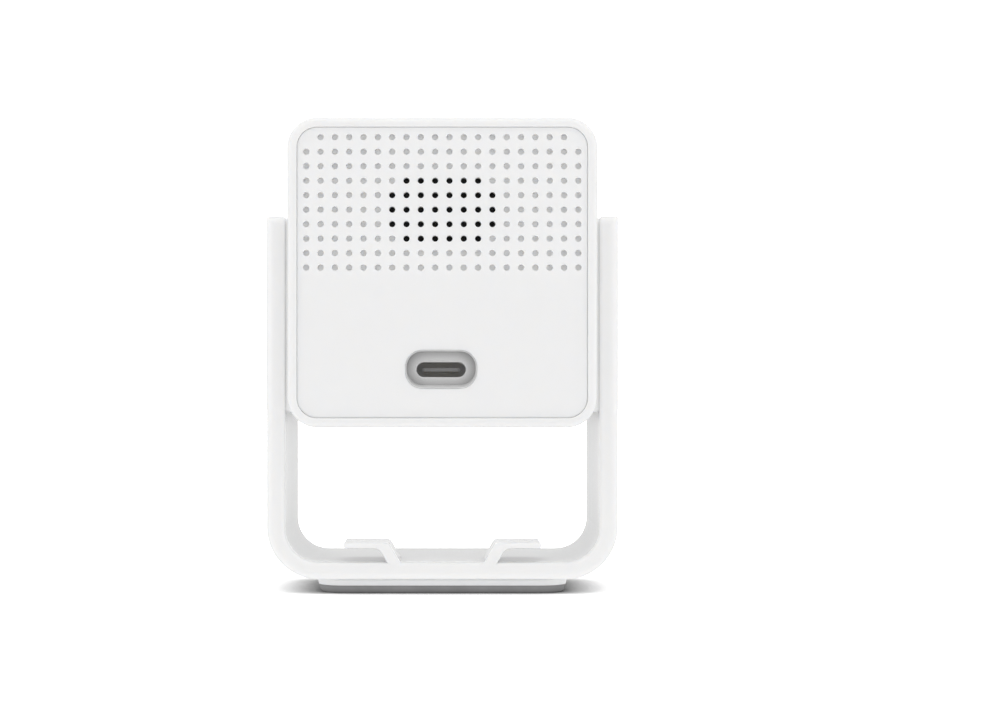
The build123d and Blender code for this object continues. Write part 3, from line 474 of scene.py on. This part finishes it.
finish_of = {
    "rubber_foot": "rubber", "base_plate": "foot", "swivel_friction_washer": "washer", "swivel_spring_washer": "steel",
    "swivel_screw": "steel", "swivel_insert": "brass", "yoke_bracket": "bracket", "pivot_friction_washers": "washer",
    "pivot_spring_washers": "steel", "pivot_screws": "steel", "head_shell": "shell", "rear_cover": "cover",
    "port_bezel": "port", "front_window": "window", "lens_ring": "ring", "lens_barrel": "barrel",
    "front_lens_element": "lens", "middle_lens_element": "lens_inner", "rear_lens_element": "lens_inner",
    "lens_holder": "inner_black", "filter_carriage": "inner_black", "ir_cut_glass": "ir_glass", "clear_glass": "lens_inner",
    "filter_magnet": "nickel", "filter_coil": "copper", "sensor_board": "pcb", "image_sensor": "sensor",
    "sensor_board_screws": "steel", "infrared_board": "pcb", "infrared_leds": "led", "lens_gasket": "foam",
    "status_led": "led", "status_light_pipe": "light_pipe", "microphone": "mic_can", "mic_boot": "silicone",
    "internal_frame": "frame_grey", "frame_screws": "steel", "main_board": "pcb", "main_board_screws": "steel",
    "processor": "chip", "thermal_pad": "thermal", "heat_sink": "aluminium", "memory_chip": "chip", "wifi_shield": "tin",
    "wifi_antenna": "antenna", "antenna_cable": "cable", "ribbon_connectors": "inner_black", "sensor_ribbon": "flex",
    "usb_c_shell": "socket", "usb_c_tongue": "tongue", "speaker_mesh": "mesh", "speaker_gasket": "foam",
    "speaker_basket": "frame_grey", "speaker_magnet": "nickel", "voice_coil": "copper", "speaker_cone": "cone",
    "speaker_leads": "lead", "reset_button": "button", "switch_plunger": "inner_black", "reset_switch": "inner_black",
}
for name, obj in nodes.items():
    obj.data.materials.clear()
    obj.data.materials.append(M[finish_of[name]])
    for p in obj.data.polygons:
        p.material_index = 0
    # rounded faces shade smoothly, real edges stay crisp
    obj.data.polygons.foreach_set("use_smooth", [True] * len(obj.data.polygons))
    obj.data.set_sharp_from_angle(angle=math.radians(32))
    even = obj.modifiers.new("even_normals", "WEIGHTED_NORMAL")
    even.mode = "FACE_AREA"
    even.keep_sharp = True


# ------------------------------------------------------------------ small pieces
def mesh_object(name, bm, mat, body):
    me = bpy.data.meshes.new(name)
    bm.normal_update()
    bm.to_mesh(me)
    bm.free()
    o = bpy.data.objects.new(name, me)
    scene.collection.objects.link(o)
    me.materials.append(mat)
    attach(o, body)
    return o


def strip(bm, x, y0, y1, z, width, thick, up):
    """One plated contact: a flat strip along Y whose free end turns down into the plastic."""
    w, e = width / 2, width * 0.18
    rows = []
    for y, lift in ((y0, thick), (y1 - 0.35 * MM, thick), (y1 - 0.12 * MM, thick * 0.8), (y1, -thick * 0.5)):
        rows.append([bm.verts.new((x + dx, y, z + up * dz)) for dx, dz in
                     ((-w, -thick), (-w, lift - e * 0.4), (-w + e, lift), (w - e, lift), (w, lift - e * 0.4), (w, -thick))])
    for a, b in zip(rows, rows[1:]):
        for i in range(6):
            j = (i + 1) % 6
            bm.faces.new((a[i], a[j], b[j], b[i]) if up > 0 else (a[i], b[i], b[j], a[j]))
    bm.faces.new(rows[0][::-1] if up > 0 else rows[0])
    bm.faces.new(rows[-1] if up > 0 else rows[-1][::-1])


def socket_contacts():
    """Twelve gold-plated contacts on each side of the socket's tongue, 0.5 mm apart."""
    lo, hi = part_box("usb_c_tongue")
    cx, cz = (lo.x + hi.x) / 2, (lo.z + hi.z) / 2
    bm = bmesh.new()
    for side in (1, -1):
        for i in range(12):
            strip(bm, cx + (i - 5.5) * 0.5 * MM, hi.y - 4.4 * MM, hi.y - 0.55 * MM, cz + side * 0.35 * MM, 0.26 * MM, 0.035 * MM, side)
    bmesh.ops.recalc_face_normals(bm, faces=bm.faces)
    return mesh_object("socket_contacts", bm, M["gold"], "head")


socket_contacts()


# ------------------------------------------------------------------ floor, light, camera
def floor():
    bm = bmesh.new()
    rings, spokes = 24, 96
    prev = None
    drop = -0.02 * MM
    centre = bm.verts.new((0, 0, drop))
    for i in range(1, rings + 1):
        r = 4.0 * (i / rings) ** 2.2
        ring = [bm.verts.new((r * math.cos(2 * math.pi * k / spokes), r * math.sin(2 * math.pi * k / spokes), drop)) for k in range(spokes)]
        for k in range(spokes):
            j = (k + 1) % spokes
            if prev is None:
                bm.faces.new((centre, ring[k], ring[j]))
            else:
                bm.faces.new((prev[k], ring[k], ring[j], prev[j]))
        prev = ring
    me = bpy.data.meshes.new("floor")
    bm.to_mesh(me)
    bm.free()
    o = bpy.data.objects.new("floor", me)
    scene.collection.objects.link(o)
    m = bpy.data.materials.new("floor_white")
    m.use_nodes = True
    nt = m.node_tree
    nt.nodes.clear()
    out = nt.nodes.new("ShaderNodeOutputMaterial")
    # painted contact shadow: ambient occlusion darkens the floor's colour under and beside the object
    ao = nt.nodes.new("ShaderNodeAmbientOcclusion")
    ao.samples = 8
    ao.inputs["Distance"].default_value = 0.03
    deep = nt.nodes.new("ShaderNodeMath")
    deep.operation = "POWER"
    deep.inputs[1].default_value = SHADOW_POWER
    nt.links.new(ao.outputs["AO"], deep.inputs[0])
    gain = nt.nodes.new("ShaderNodeMath")
    gain.operation = "MULTIPLY"
    gain.inputs[1].default_value = FLOOR_GAIN
    nt.links.new(deep.outputs["Value"], gain.inputs[0])
    paint = nt.nodes.new("ShaderNodeBsdfDiffuse")
    nt.links.new(gain.outputs["Value"], paint.inputs["Color"])
    # one-sided: open from underneath, so that the underside of the camera can be looked at
    side = nt.nodes.new("ShaderNodeNewGeometry")
    clear = nt.nodes.new("ShaderNodeBsdfTransparent")
    faced = nt.nodes.new("ShaderNodeMixShader")
    nt.links.new(side.outputs["Backfacing"], faced.inputs["Fac"])
    nt.links.new(paint.outputs["BSDF"], faced.inputs[1])
    nt.links.new(clear.outputs["BSDF"], faced.inputs[2])
    nt.links.new(faced.outputs["Shader"], out.inputs["Surface"])
    o.visible_diffuse = False
    o.visible_glossy = False
    o.visible_transmission = False
    o.visible_volume_scatter = False
    o.visible_shadow = False
    me.materials.append(m)
    return o


FLOOR_GAIN, SHADOW_POWER = 2.3, 1.0
floor()

world = bpy.data.worlds.new("studio")
scene.world = world
world.use_nodes = True
nt = world.node_tree
nt.nodes.clear()
out = nt.nodes.new("ShaderNodeOutputWorld")
tc = nt.nodes.new("ShaderNodeTexCoord")
sep = nt.nodes.new("ShaderNodeSeparateXYZ")
nt.links.new(tc.outputs["Generated"], sep.inputs["Vector"])
# brightness of the surroundings along Y: two broad side panels, dimmer behind the rear and dimmest in front of the lens
around = nt.nodes.new("ShaderNodeMapRange")
around.inputs["From Min"].default_value = -1.0
nt.links.new(sep.outputs["Y"], around.inputs["Value"])
tent = nt.nodes.new("ShaderNodeValToRGB")
tent.color_ramp.interpolation = "EASE"
stops = [(0.0, 0.96), (0.125, 0.81), (0.25, 0.65), (0.39, 0.78), (0.5, 1.10), (0.615, 1.29), (0.74, 1.09), (0.865, 0.81), (1.0, 0.84)]
while len(tent.color_ramp.elements) < len(stops):
    tent.color_ramp.elements.new(0.5)
for e, (p, v) in zip(tent.color_ramp.elements, stops):
    e.position = p
    e.color = (v, v, v, 1)
nt.links.new(around.outputs["Result"], tent.inputs["Fac"])
up = nt.nodes.new("ShaderNodeMapRange")
up.interpolation_type = "SMOOTHSTEP"
up.inputs["To Min"].default_value = 0.0
up.inputs["To Max"].default_value = 0.09
nt.links.new(sep.outputs["Z"], up.inputs["Value"])
level = nt.nodes.new("ShaderNodeMath")
level.operation = "ADD"
nt.links.new(up.outputs["Result"], level.inputs[0])
nt.links.new(tent.outputs["Color"], level.inputs[1])
light = nt.nodes.new("ShaderNodeBackground")
light.inputs["Color"].default_value = (1, 1, 1, 1)
nt.links.new(level.outputs["Value"], light.inputs["Strength"])
seen = nt.nodes.new("ShaderNodeBackground")
seen.inputs["Color"].default_value = (1, 1, 1, 1)
seen.inputs["Strength"].default_value = 1.1
path = nt.nodes.new("ShaderNodeLightPath")
mix = nt.nodes.new("ShaderNodeMixShader")
nt.links.new(path.outputs["Is Camera Ray"], mix.inputs["Fac"])
nt.links.new(light.outputs["Background"], mix.inputs[1])
nt.links.new(seen.outputs["Background"], mix.inputs[2])
nt.links.new(mix.outputs["Shader"], out.inputs["Surface"])

cam_data = bpy.data.cameras.new("camera")
cam = bpy.data.objects.new("camera", cam_data)
scene.collection.objects.link(cam)
cam_data.sensor_width = 36.0
cam_data.lens = 36.0 * 1986.0 / 989.0
cam_data.shift_x = 52.2 / 989.0
cam_data.shift_y = 43.0 / 989.0
cam_data.clip_start = 0.01
cam_data.clip_end = 20.0
cam.location = (0.0, 0.3596, 0.0348)
cam.rotation_euler = (math.radians(90), 0.0, math.radians(180))
scene.camera = cam
